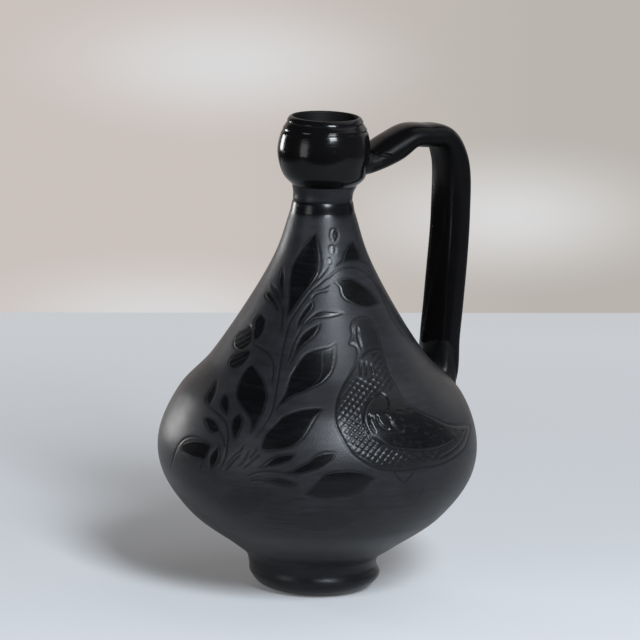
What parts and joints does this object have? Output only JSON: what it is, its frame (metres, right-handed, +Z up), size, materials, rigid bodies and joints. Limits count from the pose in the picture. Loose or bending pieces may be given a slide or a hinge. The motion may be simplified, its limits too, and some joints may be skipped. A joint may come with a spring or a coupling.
{
  "type": "pottery jug",
  "caption": "Black burnished earthenware jug with a turned foot, pear-shaped body, beaded neck, globular mouth and a strap handle, for carrying and pouring liquid.",
  "frame": {"origin": "centre of the flat underside of the foot, on the surface that the jug stands on", "axes": "+Z up along the axis the jug was thrown on, +X from that axis towards the handle"},
  "size_m": [0.1804, 0.1804, 0.27],
  "materials": {
    "burnished_black": "burnished black earthenware, glossy",
    "graphite_ground": "smoke-fired graphite grey earthenware, satin"
  },
  "bodies": {
    "root": {"foot": "burnished_black", "body": "graphite_ground", "neck_bead": "burnished_black", "neck_collar": "burnished_black", "mouth_bulb": "burnished_black", "rim_lip": "burnished_black", "handle_strap": "burnished_black", "upper_handle_luting": "burnished_black", "lower_handle_luting": "burnished_black"}
  },
  "joints": []
}
